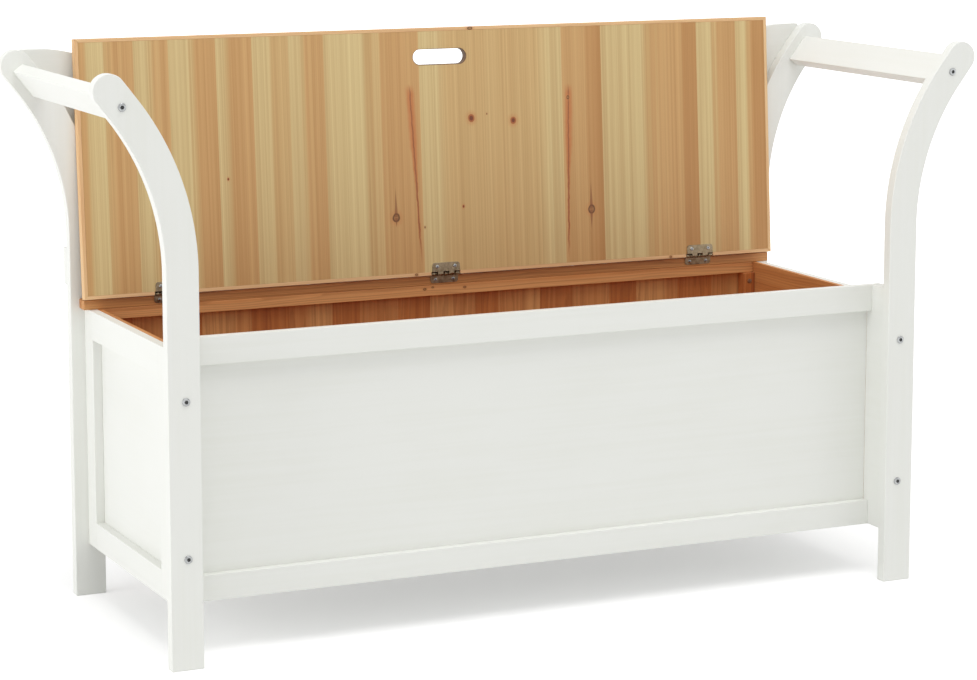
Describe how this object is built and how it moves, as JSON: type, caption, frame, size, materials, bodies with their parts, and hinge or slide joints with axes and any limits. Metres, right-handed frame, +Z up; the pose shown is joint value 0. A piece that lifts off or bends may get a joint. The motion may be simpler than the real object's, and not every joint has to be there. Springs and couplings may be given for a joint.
{
  "type": "storage bench",
  "caption": "Storage bench with scrolled arm frames, a panelled box under a hinged seat lid that opens against the slatted back, and a hand slot in the lid.",
  "frame": {"origin": "on the floor, under the middle of the bench's bounding box", "axes": "+X along the bench to the right as seen from its front, +Y from the front to the back, +Z up"},
  "size_m": [1.2496, 0.4292, 0.7551],
  "materials": {
    "white_paint": "satin white paint on softwood",
    "lid_wood": "clear satin varnish on edge-glued softwood strips",
    "lipping_wood": "clear satin varnish on pale softwood",
    "inside_wood": "bare softwood, warm orange",
    "batten_wood": "bare softwood, darker",
    "hinge_steel": "satin, grey brown",
    "zinc_steel": "zinc plated"
  },
  "bodies": {
    "frame": {"arm_bolts": "zinc_steel", "arm_left": "white_paint", "arm_right": "white_paint", "back_ledge": "inside_wood", "back_panel": "inside_wood", "back_screws": "zinc_steel", "back_slat_1": "white_paint", "back_slat_2": "white_paint", "back_slat_3": "white_paint", "back_slat_4": "white_paint", "back_slat_5": "white_paint", "back_slat_6": "white_paint", "back_slat_7": "white_paint", "back_slat_8": "white_paint", "back_slat_9": "white_paint", "batten_screws": "zinc_steel", "box_bolts": "zinc_steel", "cleat_screws": "zinc_steel", "corner_cleat_back_left": "inside_wood", "corner_cleat_back_right": "inside_wood", "corner_cleat_front_left": "inside_wood", "corner_cleat_front_right": "inside_wood", "crest_rail": "white_paint", "floor_cleat_back": "inside_wood", "floor_cleat_front": "inside_wood", "floor_cleat_left": "inside_wood", "floor_cleat_right": "inside_wood", "floor_panel": "inside_wood", "frame_dowels": "inside_wood", "front_panel": "white_paint", "front_rail_bottom": "white_paint", "front_rail_top": "white_paint", "hinge_batten": "batten_wood", "hinge_lower_leaves": "hinge_steel", "hinge_pins": "hinge_steel", "hinge_screws_batten": "hinge_steel", "lower_back_rail": "white_paint", "post_back_left": "white_paint", "post_back_right": "white_paint", "post_front_left": "white_paint", "post_front_right": "white_paint", "side_panel_left": "white_paint", "side_panel_right": "white_paint", "side_rail_bottom_left": "white_paint", "side_rail_bottom_right": "white_paint", "side_rail_top_left": "white_paint", "side_rail_top_right": "white_paint", "side_stile_front_left": "white_paint", "side_stile_front_right": "white_paint", "side_stile_rear_left": "white_paint", "side_stile_rear_right": "white_paint"},
    "lid": {"hinge_screws_lid": "hinge_steel", "hinge_upper_leaves": "hinge_steel", "lid_edge_front": "lipping_wood", "lid_edge_left": "lipping_wood", "lid_edge_rear": "lipping_wood", "lid_edge_right": "lipping_wood", "lid_panel": "lid_wood"}
  },
  "joints": [
    {"name": "lid_hinge", "type": "hinge", "parent": "frame", "child": "lid", "pos_m": [0, 0.1596, 0.4113], "axis": [1, 0, 0], "range_deg": [0, 94]}
  ]
}
